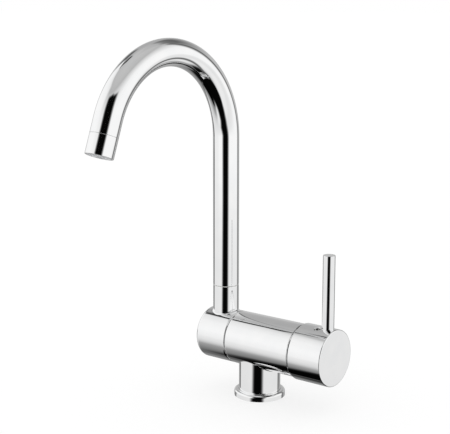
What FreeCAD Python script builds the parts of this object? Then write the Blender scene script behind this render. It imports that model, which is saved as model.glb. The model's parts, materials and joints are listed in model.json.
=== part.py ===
import FreeCAD, Part
import math
import os

# A fold-down kitchen mixer tap for three waters: hot, cold and filtered.
# A column stands on the deck and carries a horizontal body. The spout stands on a block
# at the body's left end: it swivels on the block, and the block folds forward about the
# body's axis. The handle turns and tilts on a ceramic cartridge at the body's right end.
#
# Frame, in millimetres: the origin is on the deck, under the middle of the column.
# +X runs along the horizontal body towards the handle, the spout points to -Y,
# which is the front, and +Z is up.

os.makedirs("parts", exist_ok=True)

Vector = FreeCAD.Vector
X_AXIS = Vector(1, 0, 0)
Y_AXIS = Vector(0, 1, 0)
Z_AXIS = Vector(0, 0, 1)

# ---- driving dimensions: foot and column ----
column_radius = 17.5
column_wall = 2.0
column_fillet = 1.0
flange_rim = 4.0            # how far the flange reaches out past the column
flange_height = 5.2
flange_edge_round = 2.0
gasket_width = 2.2
gasket_depth = 1.5
plug_height = 16.0
port_circle_radius = 9.0    # the hose ports and the stud socket lie on this circle
hose_port_radius = 4.46     # minor radius of an M10 x 1 thread
hose_port_depth = 10.5
stud_socket_radius = 3.4    # minor radius of an M8 thread
stud_socket_depth = 12.0
inlet_tube_radius = 4.0
inlet_tube_wall = 0.8
inlet_tube_seat_depth = 3.5
channel_radius = 2.5        # every drilled waterway

# ---- driving dimensions: horizontal body ----
body_axis_height = 46.5     # above the deck
body_radius = 22.25
body_left_reach = 21.0      # column axis to the fold seam
body_right_reach = 45.0     # column axis to the handle's rim
body_end_wall = 5.0
body_floor_web = 3.4        # between the column's bore and the body's bore
seam_gap = 0.4
seam_chamfer = 0.4
body_neck_length = 2.3      # narrow end of the body, back from the handle's rim
body_neck_step = 1.4        # how much smaller that end's radius is

# ---- driving dimensions: spout ----
tube_radius = 11.0
tube_wall = 1.25
spout_axis_inset = 15.5     # fold seam to the spout's upright axis
neck_height = 44.0          # body axis to the seam under the spout
neck_fillet = 1.4
arch_base_height = 217.3    # deck to the start of the arch
arch_radius = 72.0
arch_angle = 159.5          # degrees, so that the outlet leans forward
outlet_straight = 12.3
aerator_length = 16.0
aerator_wall = 1.8
aerator_spigot_length = 6.0
aerator_ledge_height = 3.0
aerator_ledge_width = 1.4
aerator_recess = 0.6
aerator_plate = 2.0
aerator_seal_height = 1.2
aerator_hole_radius = 0.7
aerator_hole_pitch = 2.2
aerator_hole_rings = 3

# ---- driving dimensions: swivel inside the neck ----
spigot_radius = 8.75
spigot_bore_radius = 6.0
spigot_grip = 22.0          # length held in the spout tube
spigot_reach = 30.0         # length standing in the neck
spigot_end_room = 1.2       # under the spigot, in the neck's bore
spigot_seal_depths = (9.0, 20.0)
snap_ring_depth = 26.0      # all depths are below the spout seam
snap_ring_height = 1.2
snap_ring_bite = 1.1        # how deep the ring sits in the spigot
snap_ring_reach = 0.8       # how far it stands out of the spigot
snap_ring_opening = 40.0    # degrees
slip_ring_inset = 0.7

# ---- driving dimensions: fold joint ----
axle_radius = 8.0
axle_bore_radius = 4.5
axle_port_radius = 2.6
water_groove_half_width = 3.2
water_groove_depth = 1.6
axle_seal_offset = 5.4      # spout axis to each axle seal
axle_seal_land = 1.2
friction_washer_thickness = 1.0
axle_nut_radius = 12.5
axle_nut_thickness = 3.6
axle_nut_room = 1.15        # between the nut and the end cap
nut_notch_width = 3.0
nut_notch_depth = 1.6
end_cap_radius = 16.0
end_cap_thickness = 3.0
block_end_round = 3.5
thrust_washer_radius = 14.0
thrust_washer_recess = 1.0
stop_pin_radius = 1.5
stop_pin_inset = 4.45       # body's outside to the middle of the stop pin
stop_pin_angle = 45.0       # degrees about +X, from +Y
stop_pin_grip = 4.0
stop_pin_reach = 2.2
fold_angle = 90.0           # degrees of fold, forwards

# ---- driving dimensions: cartridge ----
cartridge_radius = 17.5
cartridge_wall = 1.5
cartridge_base = 4.0
cartridge_neck_radius = 14.0
cartridge_neck_length = 6.0
ceramic_thickness = 3.5
moving_disc_radius = 11.5
mixing_chamber_radius = 8.5
mixing_chamber_depth = 1.8
driver_thickness = 4.0
carrier_plate = 2.2
pivot_setback = 5.0         # handle's rim to the tilt axis, inwards
pivot_pin_radius = 1.5
pivot_pin_length = 22.0
stem_width = 8.0
stem_barrel_radius = 3.6
stem_slot_half_length = 8.5
stem_end_inset = 9.5        # stem's end to the handle's outer face
foot_arm = 6.0              # tilt axis to the middle of the stem's foot
foot_radius = 2.0
foot_neck_radius = 1.2
tilt_angle = 25.0           # degrees from shut to full flow
cartridge_nut_radius = 19.25
cartridge_nut_proud = 0.2   # how far the nut stands out of the body

# ---- driving dimensions: handle ----
hub_length = 30.5
hub_wall = 0.9
hub_edge_round = 0.9
hub_cavity_depth = 11.0
hub_overlap = 0.3           # how far the body reaches in under the handle's rim
lever_radius = 5.0
lever_inset = 7.5           # lever axis to the handle's outer face
lever_reach = 84.0          # body axis to the lever's tip
lever_seat_radius = 15.0    # body axis to the bottom of the lever's hole
lever_edge_chamfer = 0.4
grub_offset = 7.3           # lever axis to the grub screw's axis
grub_angle = 79.0           # degrees above the front
grub_radius = 2.5
grub_length = 16.0
grub_tip_gap = 0.8          # between the stem's flat and the tilted screw's tip
grub_socket_width = 2.5
grub_socket_depth = 3.0
grub_mouth_chamfer = 0.65
dome_height = 5.0
dome_opening_radius = 14.0
dome_bulge = 0.5
dome_wall = 1.0
dome_edge_inset = 0.35

# ---- seals and fits ----
seal_section_radius = 0.85
seal_groove_play = 0.15     # each side of a seal in its groove
seal_touch_gap = 0.02       # between a seal and the wall it rubs on
running_play = 0.05         # radial, between a shaft and its hole
fixed_play = 0.05           # radial, between pieces that stay together
free_play = 0.3             # between pieces that must not touch
hub_play = 0.35             # between the handle's rim and the body
cartridge_play = 0.1        # radial, between the cartridge and the body's bore
carrier_play = 0.1          # between the carrier's shoulder and the housing
snap_ring_play = 0.1        # radial, between the snap ring and its slot in the neck

# ---- places that follow from them ----
stop_pin_circle_radius = body_radius - stop_pin_inset
body_left = -body_left_reach + seam_gap / 2
body_right = body_right_reach + hub_overlap
body_neck_left = body_right_reach - body_neck_length
body_neck_radius = body_radius - body_neck_step
bore_radius = cartridge_radius + cartridge_play
bore_left = -body_left_reach + body_end_wall
column_bore_radius = column_radius - column_wall
column_bore_top = body_axis_height - bore_radius - body_floor_web
port_offset = port_circle_radius / math.sqrt(2)
tube_bore_radius = tube_radius - tube_wall
spout_x = -body_left_reach - spout_axis_inset
seam_height = body_axis_height + neck_height
neck_top = seam_height - seam_gap / 2
tube_foot = seam_height + seam_gap / 2
neck_bore_radius = spigot_radius + running_play
neck_bore_floor = seam_height - spigot_reach - spigot_end_room
snap_ring_middle = seam_height - snap_ring_depth
snap_ring_outer = spigot_radius + snap_ring_reach
block_right = -body_left_reach - seam_gap / 2
nut_seat = spout_x - axle_seal_offset - seal_section_radius - axle_seal_land
washer_left = nut_seat - friction_washer_thickness
axle_left = washer_left - axle_nut_thickness
cap_right = axle_left - axle_nut_room
block_left = cap_right - end_cap_thickness
pivot_x = body_right_reach - pivot_setback
foot_x = pivot_x - foot_arm
driver_left = foot_x - driver_thickness / 2
driver_right = driver_left + driver_thickness
moving_left = driver_left - ceramic_thickness
fixed_left = moving_left - ceramic_thickness
seat_face = fixed_left - cartridge_base
carrier_ring_left = moving_left + free_play
carrier_plate_left = driver_right + free_play
carrier_shoulder = carrier_plate_left + carrier_plate
shoulder_inner = carrier_shoulder + carrier_play
shoulder_outer = shoulder_inner + cartridge_wall
cartridge_right = shoulder_outer + cartridge_neck_length
cartridge_bore_radius = cartridge_radius - cartridge_wall
cartridge_neck_bore = cartridge_neck_radius - cartridge_wall
disc_travel = foot_arm * math.sin(math.radians(tilt_angle))
carrier_ring_bore = moving_disc_radius + disc_travel / 2 + free_play
seat_left = bore_left + cartridge_wall
hub_bore_radius = body_radius + hub_play
hub_radius = hub_bore_radius + hub_wall
hub_right = body_right_reach + hub_length
hub_floor = body_right_reach + hub_cavity_depth
lever_x = hub_right - lever_inset
grub_x = lever_x - grub_offset
stem_right = hub_right - stem_end_inset
flange_radius = column_radius + flange_rim

# The four drilled waterways, as (sideways, upwards) from the body's axis.
cold_way = (-port_offset, -port_offset)
hot_way = (port_offset, -port_offset)
filtered_way = (-port_offset, port_offset)
outlet_way = (port_offset, port_offset)

# The three inlets, as (name, place of the tube in the column, its waterway).
inlets = (
    ("cold", (port_offset, -port_offset), cold_way),
    ("hot", (port_offset, port_offset), hot_way),
    ("filtered", (-port_offset, -port_offset), filtered_way),
)
stud_place = (-port_offset, port_offset)


# ---- helpers ----
def along_x(radius, start, end, side=0.0, rise=0.0):
    """A cylinder parallel to X, placed sideways and upwards from the body's axis."""
    base = Vector(start, side, body_axis_height + rise)
    return Part.makeCylinder(radius, end - start, base, X_AXIS)


def along_z(radius, start, end, x=0.0, y=0.0):
    """An upright cylinder between two heights."""
    return Part.makeCylinder(radius, end - start, Vector(x, y, start), Z_AXIS)


def ring_x(outer, inner, start, end):
    """A ring around the body's axis."""
    return along_x(outer, start, end).cut(along_x(inner, start, end))


def ring_z(outer, inner, start, end, x=0.0):
    """A ring around an upright axis."""
    return along_z(outer, start, end, x).cut(along_z(inner, start, end, x))


def box_about_axis(x_start, x_end, half_width, half_height):
    """A box centred on the body's axis."""
    corner = Vector(x_start, -half_width, body_axis_height - half_height)
    return Part.makeBox(x_end - x_start, 2 * half_width, 2 * half_height, corner)


def seal_centre_radius(wall_radius):
    """Where the middle of a seal's section lies, for the wall that it rubs on."""
    return wall_radius - seal_touch_gap - seal_section_radius


def seal_groove_reach():
    """Half the width of a seal's groove."""
    return seal_section_radius + seal_groove_play


def seal_groove_floor(wall_radius):
    """The radius at the bottom of a seal's groove."""
    return seal_centre_radius(wall_radius) - seal_section_radius - seal_touch_gap


def edges_where(shape, wanted):
    """The edges of a shape that a test picks."""
    return [edge for edge in shape.Edges if wanted(edge)]


def lies_at_x(edge, place, least_radius):
    """Whether an edge is a circle around the body's axis at one place along X."""
    box = edge.BoundBox
    flat = abs(box.XMin - place) < 1e-4 and abs(box.XMax - place) < 1e-4
    return flat and box.ZLength > 2 * least_radius


def lies_at_z(edge, place, least_radius):
    """Whether an edge is a level circle at one height."""
    box = edge.BoundBox
    flat = abs(box.ZMin - place) < 1e-4 and abs(box.ZMax - place) < 1e-4
    return flat and box.XLength > 2 * least_radius


def is_junction(edge):
    """Whether an edge is the curve where two crossing cylinders meet."""
    return isinstance(edge.Curve, Part.BSplineCurve)


def save(shape, node):
    """Write one piece to its own file."""
    shape.exportStep("parts/" + node + ".step")


# ---- foot and column ----
def make_base_flange():
    flange = ring_z(flange_radius, column_radius + fixed_play, 0, flange_height)
    middle = (flange_radius + column_radius) / 2
    rim = edges_where(flange, lambda edge: lies_at_z(edge, flange_height, middle))
    flange = flange.makeFillet(flange_edge_round, rim)
    return flange.cut(gasket_ring(fixed_play))


def gasket_ring(play):
    """The ring under the flange, in the middle of its width, or the groove for it."""
    middle = (flange_radius + column_radius) / 2
    half_width = gasket_width / 2 + play
    return ring_z(middle + half_width, middle - half_width, 0, gasket_depth + play)


def make_base_plug():
    plug = along_z(column_bore_radius - fixed_play, 0, plug_height)
    for name, (x, y), way in inlets:
        plug = plug.cut(along_z(hose_port_radius, 0, hose_port_depth, x, y))
        plug = plug.cut(along_z(channel_radius, 0, plug_height, x, y))
        seat = plug_height - inlet_tube_seat_depth
        plug = plug.cut(along_z(inlet_tube_radius + fixed_play, seat, plug_height, x, y))
    return plug.cut(along_z(stud_socket_radius, 0, stud_socket_depth, *stud_place))


def inlet_tube_top():
    """The height at which an inlet tube ends, inside the cartridge's seat."""
    seat_radius = bore_radius - fixed_play
    seat_underside = math.sqrt(seat_radius ** 2 - port_offset ** 2)
    return body_axis_height - seat_underside + inlet_tube_seat_depth


def make_inlet_tube(x, y):
    start = plug_height - inlet_tube_seat_depth
    tube = along_z(inlet_tube_radius, start, inlet_tube_top(), x, y)
    bore = inlet_tube_radius - inlet_tube_wall
    return tube.cut(along_z(bore, start, inlet_tube_top(), x, y))


def make_body_shell():
    shell = along_x(body_radius, body_left, body_neck_left)
    shell = shell.fuse(along_z(column_radius, 0, body_axis_height)).removeSplitter()
    shell = shell.makeFillet(column_fillet, edges_where(shell, is_junction))
    left_edge = edges_where(shell, lambda edge: lies_at_x(edge, body_left, cartridge_radius))
    shell = shell.makeChamfer(seam_chamfer, left_edge)
    rim = (body_radius + body_neck_radius) / 2
    neck_edge = edges_where(shell, lambda edge: lies_at_x(edge, body_neck_left, rim))
    shell = shell.makeChamfer(seam_chamfer / 2, neck_edge)
    shell = shell.fuse(along_x(body_neck_radius, bore_left, body_right)).removeSplitter()
    shell = shell.cut(along_x(bore_radius, bore_left, body_right))
    nut_zone = shoulder_outer - free_play
    shell = shell.cut(along_x(cartridge_nut_radius, nut_zone, body_right))
    shell = shell.cut(along_x(axle_radius + fixed_play, body_left, bore_left))
    shell = shell.cut(along_z(column_bore_radius, 0, column_bore_top))
    for name, (x, y), way in inlets:
        hole = along_z(inlet_tube_radius + fixed_play, 0, body_axis_height, x, y)
        shell = shell.cut(hole)
    return shell.cut(stop_pin(fixed_play))


# ---- fold joint ----
def stop_pin(play=0.0):
    """The pin that stops the fold, or the hole for it when given a play."""
    angle = math.radians(stop_pin_angle)
    side = stop_pin_circle_radius * math.cos(angle)
    rise = stop_pin_circle_radius * math.sin(angle)
    start = block_right - stop_pin_reach
    return along_x(stop_pin_radius + play, start, body_left + stop_pin_grip, side, rise)


def axle_seal_places():
    return (spout_x - axle_seal_offset, spout_x + axle_seal_offset)


def make_fold_axle():
    axle = along_x(axle_radius, axle_left, bore_left)
    bore_end = spout_x - water_groove_half_width
    axle = axle.cut(along_x(axle_bore_radius, bore_end, bore_left))
    low = body_axis_height - axle_radius
    high = body_axis_height + axle_radius
    axle = axle.cut(along_z(axle_port_radius, low, high, spout_x))
    cross_base = Vector(spout_x, -axle_radius, body_axis_height)
    axle = axle.cut(Part.makeCylinder(axle_port_radius, 2 * axle_radius, cross_base, Y_AXIS))
    wall = axle_radius + running_play
    for place in axle_seal_places():
        reach = seal_groove_reach()
        axle = axle.cut(ring_x(wall, seal_groove_floor(wall), place - reach, place + reach))
    return axle


def make_fold_axle_seals():
    centre_radius = seal_centre_radius(axle_radius + running_play)
    seals = []
    for place in axle_seal_places():
        middle = Vector(place, 0, body_axis_height)
        seals.append(Part.makeTorus(centre_radius, seal_section_radius, middle, X_AXIS))
    return Part.makeCompound(seals)


def make_fold_thrust_washer():
    start = block_right - thrust_washer_recess
    return ring_x(thrust_washer_radius, axle_radius + free_play, start, body_left)


def make_fold_friction_washer():
    return ring_x(axle_nut_radius, axle_radius + fixed_play, washer_left, nut_seat)


def make_fold_retaining_nut():
    nut = ring_x(axle_nut_radius, axle_radius, axle_left, washer_left)
    notch_end = axle_left + nut_notch_depth
    across = box_about_axis(axle_left, notch_end, nut_notch_width / 2, axle_nut_radius)
    core = along_x(axle_radius + nut_notch_depth, axle_left, notch_end)
    return nut.cut(across.cut(core))


def stop_slot():
    """The arc in the block's face that the stop pin runs in."""
    width = stop_pin_radius + free_play
    start = block_right - stop_pin_reach - free_play
    low = stop_pin_circle_radius - width
    high = stop_pin_circle_radius + width
    corners = ((start, low), (block_right, low), (block_right, high), (start, high))
    outline = [Vector(x, side, body_axis_height) for x, side in corners]
    section = Part.Face(Part.makePolygon(outline + outline[:1]))
    middle = Vector(0, 0, body_axis_height)
    first_angle = stop_pin_angle - fold_angle
    section.rotate(middle, X_AXIS, first_angle)
    slot = section.revolve(middle, X_AXIS, fold_angle)
    for turn in (first_angle, stop_pin_angle):
        side = stop_pin_circle_radius * math.cos(math.radians(turn))
        rise = stop_pin_circle_radius * math.sin(math.radians(turn))
        slot = slot.fuse(along_x(width, start, block_right, side, rise))
    return slot


def make_fold_block():
    block = along_x(body_radius, block_left, block_right)
    block = block.fuse(along_z(tube_radius, body_axis_height, neck_top, spout_x))
    block = block.removeSplitter()
    block = block.makeFillet(neck_fillet, edges_where(block, is_junction))
    end = edges_where(block, lambda edge: lies_at_x(edge, block_left, end_cap_radius))
    block = block.makeFillet(block_end_round, end)
    seam = edges_where(block, lambda edge: lies_at_x(edge, block_right, end_cap_radius))
    top = edges_where(block, lambda edge: lies_at_z(edge, neck_top, neck_bore_radius))
    block = block.makeChamfer(seam_chamfer, seam + top)
    block = block.cut(along_x(axle_radius + running_play, block_left, block_right))
    groove_start = spout_x - water_groove_half_width
    groove_end = spout_x + water_groove_half_width
    block = block.cut(along_x(axle_radius + water_groove_depth, groove_start, groove_end))
    block = block.cut(along_x(axle_nut_radius + free_play, cap_right, nut_seat))
    block = block.cut(along_x(end_cap_radius + fixed_play, block_left, cap_right))
    washer_floor = block_right - thrust_washer_recess
    washer_hole = along_x(thrust_washer_radius + free_play, washer_floor, block_right)
    block = block.cut(washer_hole)
    block = block.cut(stop_slot())
    block = block.cut(along_z(neck_bore_radius, neck_bore_floor, neck_top, spout_x))
    block = block.cut(along_z(spigot_bore_radius, body_axis_height, neck_top, spout_x))
    half_slot = snap_ring_height / 2 + free_play / 2
    slot_low = snap_ring_middle - half_slot
    slot_high = snap_ring_middle + half_slot
    slot_radius = snap_ring_outer + snap_ring_play
    return block.cut(along_z(slot_radius, slot_low, slot_high, spout_x))


def make_block_end_cap():
    cap = along_x(end_cap_radius, block_left, cap_right)
    edge = edges_where(cap, lambda edge: lies_at_x(edge, block_left, axle_radius))
    return cap.makeChamfer(seam_chamfer / 2, edge)


# ---- spout ----
def arch_point(turn):
    """A point on the arch's centre line, for an angle from the rising leg in degrees."""
    angle = math.radians(turn)
    forward = arch_radius * (1 - math.cos(angle))
    return Vector(spout_x, -forward, arch_base_height + arch_radius * math.sin(angle))


def outlet_direction():
    angle = math.radians(arch_angle)
    return Vector(0, -math.sin(angle), math.cos(angle))


def outlet_point():
    """Where the spout tube ends and the aerator's housing starts."""
    return arch_point(arch_angle) + outlet_direction() * outlet_straight


def bent_rod(radius):
    """A solid rod of one radius along the whole spout."""
    foot = Vector(spout_x, 0, tube_foot)
    rise = Part.LineSegment(foot, arch_point(0)).toShape()
    arch = Part.Arc(arch_point(0), arch_point(arch_angle / 2), arch_point(arch_angle)).toShape()
    fall = Part.LineSegment(arch_point(arch_angle), outlet_point()).toShape()
    path = Part.Wire([rise, arch, fall])
    section = Part.Wire([Part.makeCircle(radius, foot, Z_AXIS)])
    return path.makePipeShell([section], True, False)


def make_spout_tube():
    rod = bent_rod(tube_radius)
    foot_edge = edges_where(rod, lambda edge: lies_at_z(edge, tube_foot, spigot_radius))
    rod = rod.makeChamfer(seam_chamfer, foot_edge)
    return rod.cut(bent_rod(tube_bore_radius))


def spigot_seal_places():
    return [seam_height - depth for depth in spigot_seal_depths]


def make_spout_spigot():
    top = tube_foot + spigot_grip
    bottom = seam_height - spigot_reach
    spigot = along_z(tube_bore_radius - fixed_play, tube_foot, top, spout_x)
    spigot = spigot.fuse(along_z(spigot_radius, bottom, tube_foot, spout_x)).removeSplitter()
    spigot = spigot.cut(along_z(spigot_bore_radius, bottom, top, spout_x))
    reach = seal_groove_reach()
    floor = seal_groove_floor(neck_bore_radius)
    for place in spigot_seal_places():
        groove = ring_z(neck_bore_radius, floor, place - reach, place + reach, spout_x)
        spigot = spigot.cut(groove)
    return spigot.cut(snap_ring_blank(fixed_play))


def snap_ring_blank(play):
    """The snap ring as a full ring, or the groove for it in the spigot."""
    inner = spigot_radius - snap_ring_bite - play
    low = snap_ring_middle - snap_ring_height / 2 - play
    high = snap_ring_middle + snap_ring_height / 2 + play
    return ring_z(snap_ring_outer, inner, low, high, spout_x)


def make_spout_snap_ring():
    ring = snap_ring_blank(0)
    base = Vector(spout_x, 0, snap_ring_middle - snap_ring_height)
    opening = Part.makeCylinder(tube_radius, 2 * snap_ring_height, base, Z_AXIS,
                                snap_ring_opening)
    return ring.cut(opening)


def make_spout_seals():
    seals = []
    for place in spigot_seal_places():
        middle = Vector(spout_x, 0, place)
        radius = seal_centre_radius(neck_bore_radius)
        seals.append(Part.makeTorus(radius, seal_section_radius, middle, Z_AXIS))
    return Part.makeCompound(seals)


def make_spout_slip_ring():
    outer = tube_radius - slip_ring_inset
    return ring_z(outer, spigot_radius + fixed_play, neck_top, tube_foot, spout_x)


# ---- aerator, modelled upright and then turned to the outlet ----
def turned_to_outlet(shape):
    shape.rotate(Vector(0, 0, 0), X_AXIS, arch_angle)
    shape.translate(outlet_point())
    return shape


def make_aerator_housing():
    housing = along_z(tube_radius, 0, aerator_length)
    for end in (0, aerator_length):
        edge_at_end = edges_where(housing, lambda edge: lies_at_z(edge, end, tube_bore_radius))
        housing = housing.makeChamfer(seam_chamfer, edge_at_end)
    spigot_outer = tube_bore_radius - fixed_play
    housing = housing.fuse(along_z(spigot_outer, -aerator_spigot_length, 0))
    insert_radius = tube_radius - aerator_wall
    ledge_radius = insert_radius - aerator_ledge_width
    housing = housing.cut(along_z(insert_radius, aerator_ledge_height, aerator_length))
    housing = housing.cut(along_z(ledge_radius, -aerator_spigot_length, aerator_length))
    return turned_to_outlet(housing.removeSplitter())


def make_aerator_seal():
    outer = tube_radius - aerator_wall - fixed_play
    inner = outer - aerator_ledge_width
    low = aerator_ledge_height
    return turned_to_outlet(ring_z(outer, inner, low, low + aerator_seal_height))


def make_aerator_insert():
    outer = tube_radius - aerator_wall - fixed_play
    low = aerator_ledge_height + aerator_seal_height
    high = aerator_length - aerator_recess
    insert = along_z(outer, low, high)
    hollow = along_z(outer - aerator_ledge_width, low + aerator_plate, high - aerator_plate)
    insert = insert.cut(hollow)
    holes = [along_z(aerator_hole_radius, low, high)]
    for ring in range(1, aerator_hole_rings + 1):
        count = 6 * ring
        for step in range(count):
            angle = 2 * math.pi * step / count
            x = ring * aerator_hole_pitch * math.cos(angle)
            y = ring * aerator_hole_pitch * math.sin(angle)
            holes.append(along_z(aerator_hole_radius, low, high, x, y))
    return turned_to_outlet(insert.cut(Part.makeCompound(holes)))


# ---- cartridge ----
def make_cartridge_seat():
    radius = bore_radius - fixed_play
    seat = along_x(radius, seat_left, seat_face)
    for name, (x, y), (side, rise) in inlets:
        top = body_axis_height + rise
        seat = seat.cut(along_z(channel_radius, 0, top, x, y))
        seat = seat.cut(along_z(inlet_tube_radius + fixed_play, 0, inlet_tube_top(), x, y))
        seat = seat.cut(along_x(channel_radius, x, seat_face, side, rise))
        elbow = Part.makeSphere(channel_radius, Vector(x, y, top))
        seat = seat.cut(elbow)
    seat = seat.cut(along_x(channel_radius, seat_left, seat_face, *outlet_way))
    reach = seal_groove_reach()
    for place in seat_seal_places():
        floor = seal_groove_floor(bore_radius)
        seat = seat.cut(ring_x(bore_radius, floor, place - reach, place + reach))
    return seat


def seat_seal_places():
    """One seal each side of the inlet tubes."""
    tube_edge = port_offset + inlet_tube_radius + fixed_play
    offset = tube_edge + axle_seal_land + seal_section_radius
    return (-offset, offset)


def make_cartridge_seat_seals():
    seals = []
    for place in seat_seal_places():
        middle = Vector(place, 0, body_axis_height)
        radius = seal_centre_radius(bore_radius)
        seals.append(Part.makeTorus(radius, seal_section_radius, middle, X_AXIS))
    return Part.makeCompound(seals)


def port_seal_ring(way, play):
    """The seal around one waterway under the cartridge, or the pocket for it."""
    side, rise = way
    end = seat_face + 2 * seal_section_radius + play
    outer = along_x(channel_radius + 2 * seal_section_radius, seat_face, end, side, rise)
    return outer.cut(along_x(channel_radius, seat_face, end, side, rise))


def make_cartridge_port_seals():
    ways = (cold_way, hot_way, filtered_way, outlet_way)
    return Part.makeCompound([port_seal_ring(way, 0) for way in ways])


def make_cartridge_housing():
    housing = along_x(cartridge_radius, seat_face, shoulder_outer)
    housing = housing.fuse(along_x(cartridge_neck_radius, seat_face, cartridge_right))
    housing = housing.cut(along_x(cartridge_bore_radius, fixed_left, shoulder_inner))
    housing = housing.cut(along_x(cartridge_neck_bore, fixed_left, cartridge_right))
    for way in (cold_way, hot_way, filtered_way, outlet_way):
        housing = housing.cut(along_x(channel_radius, seat_face, fixed_left, *way))
        housing = housing.cut(port_seal_ring(way, fixed_play))
    return housing.removeSplitter()


def make_fixed_ceramic_disc():
    disc = along_x(cartridge_bore_radius - fixed_play, fixed_left, moving_left)
    for way in (cold_way, hot_way, filtered_way, outlet_way):
        disc = disc.cut(along_x(channel_radius, fixed_left, moving_left, *way))
    return disc


def make_moving_ceramic_disc():
    drop = -disc_travel / 2
    disc = along_x(moving_disc_radius, moving_left, driver_left, 0, drop)
    chamber_end = moving_left + mixing_chamber_depth
    return disc.cut(along_x(mixing_chamber_radius, moving_left, chamber_end, 0, drop))


def make_disc_driver():
    driver = along_x(moving_disc_radius, driver_left, driver_right, 0, -disc_travel / 2)
    return driver.cut(along_x(foot_radius + free_play, driver_left, driver_right))


def make_cartridge_carrier():
    outer = cartridge_bore_radius - running_play
    ring = ring_x(outer, carrier_ring_bore, carrier_ring_left, carrier_plate_left)
    plate = along_x(outer, carrier_plate_left, carrier_shoulder)
    neck = along_x(cartridge_neck_bore - running_play, carrier_plate_left,
                   cartridge_right - free_play)
    carrier = ring.fuse(plate).fuse(neck).removeSplitter()
    half_slot = stem_width / 2 + free_play
    slot = box_about_axis(carrier_plate_left, cartridge_right, half_slot,
                          stem_slot_half_length)
    return carrier.cut(slot).cut(pivot_pin())


def pivot_pin():
    base = Vector(pivot_x, -pivot_pin_length / 2, body_axis_height)
    return Part.makeCylinder(pivot_pin_radius, pivot_pin_length, base, Y_AXIS)


def make_cartridge_stem():
    half = stem_width / 2
    bar = box_about_axis(pivot_x, stem_right, half, half)
    barrel_base = Vector(pivot_x, -half, body_axis_height)
    barrel = Part.makeCylinder(stem_barrel_radius, stem_width, barrel_base, Y_AXIS)
    arm = along_x(foot_neck_radius, foot_x, pivot_x)
    foot = Part.makeSphere(foot_radius, Vector(foot_x, 0, body_axis_height))
    stem = bar.fuse(barrel).fuse(arm).fuse(foot).removeSplitter()
    bore_base = Vector(pivot_x, -stem_width, body_axis_height)
    bore_radius_for_pin = pivot_pin_radius + running_play
    return stem.cut(Part.makeCylinder(bore_radius_for_pin, 2 * stem_width, bore_base, Y_AXIS))


def make_cartridge_nut():
    outer = cartridge_nut_radius - fixed_play
    end = body_right + cartridge_nut_proud
    nut = ring_x(outer, cartridge_neck_radius + fixed_play, shoulder_outer, end)
    start = end - nut_notch_depth
    for half_width, half_height in ((nut_notch_width / 2, outer), (outer, nut_notch_width / 2)):
        nut = nut.cut(box_about_axis(start, end, half_width, half_height))
    return nut


def dome_edge(shift):
    """The arc of the dome's outside or inside, moved inwards by a shift."""
    low_radius = body_neck_radius - dome_edge_inset - shift
    low = Vector(body_right, 0, body_axis_height + low_radius)
    top_x = body_right + dome_height - shift
    high = Vector(top_x, 0, body_axis_height + dome_opening_radius)
    middle = (low + high) * 0.5
    chord = high - low
    outward = Vector(-chord.z, 0, chord.x)
    outward.normalize()
    return low, middle + outward * dome_bulge, high


def make_cartridge_dome():
    low, middle, high = dome_edge(0)
    inner_low, inner_middle, inner_high = dome_edge(dome_wall)
    outside = Part.Arc(low, middle, high).toShape()
    lip = Part.LineSegment(high, inner_high).toShape()
    inside = Part.Arc(inner_high, inner_middle, inner_low).toShape()
    rim = Part.LineSegment(inner_low, low).toShape()
    face = Part.Face(Part.Wire([outside, lip, inside, rim]))
    return face.revolve(Vector(0, 0, body_axis_height), X_AXIS, 360)


# ---- handle ----
def make_handle_hub():
    hub = along_x(hub_radius, body_right_reach, hub_right)
    outer_edge = edges_where(hub, lambda edge: lies_at_x(edge, hub_right, body_radius))
    hub = hub.makeFillet(hub_edge_round, outer_edge)
    hub = hub.cut(along_x(hub_bore_radius, body_right_reach, hub_floor))
    socket_half = stem_width / 2 + fixed_play
    socket_end = stem_right + fixed_play
    hub = hub.cut(box_about_axis(hub_floor, socket_end, socket_half, socket_half))
    seat = body_axis_height + lever_seat_radius
    top = body_axis_height + 2 * hub_radius
    hub = hub.cut(along_z(lever_radius + fixed_play, seat, top, lever_x))
    hub = hub.cut(grub_rod(grub_radius + fixed_play, 0, 2 * hub_radius))
    return hub.cut(grub_mouth())


def grub_direction():
    angle = math.radians(grub_angle)
    return Vector(0, -math.cos(angle), math.sin(angle))


def grub_rod(radius, start, length):
    """A cylinder along the grub screw's axis, from a distance off the body's axis."""
    base = Vector(grub_x, 0, body_axis_height) + grub_direction() * start
    return Part.makeCylinder(radius, length, base, grub_direction())


def grub_mouth():
    """The chamfer around the mouth of the grub screw's hole."""
    narrow = grub_radius + fixed_play
    wide = narrow + 2 * grub_mouth_chamfer
    start = hub_radius - grub_mouth_chamfer
    base = Vector(grub_x, 0, body_axis_height) + grub_direction() * start
    return Part.makeCone(narrow, wide, 2 * grub_mouth_chamfer, base, grub_direction())


def make_lever_pin():
    start = body_axis_height + lever_seat_radius
    lever = along_z(lever_radius, start, body_axis_height + lever_reach, lever_x)
    tip = body_axis_height + lever_reach
    tip_edge = edges_where(lever, lambda edge: lies_at_z(edge, tip, grub_radius))
    return lever.makeChamfer(lever_edge_chamfer, tip_edge)


def make_handle_grub_screw():
    start = stem_width / 2 + grub_tip_gap
    screw = grub_rod(grub_radius, start, grub_length)
    corners = []
    top = start + grub_length
    centre = Vector(grub_x, 0, body_axis_height) + grub_direction() * (top - grub_socket_depth)
    across = grub_direction().cross(X_AXIS)
    corner_radius = grub_socket_width / math.sqrt(3)
    for step in range(7):
        angle = math.radians(60 * step)
        corners.append(centre + X_AXIS * (corner_radius * math.cos(angle))
                       + across * (corner_radius * math.sin(angle)))
    socket_face = Part.Face(Part.makePolygon(corners))
    return screw.cut(socket_face.extrude(grub_direction() * (2 * grub_socket_depth)))


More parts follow.
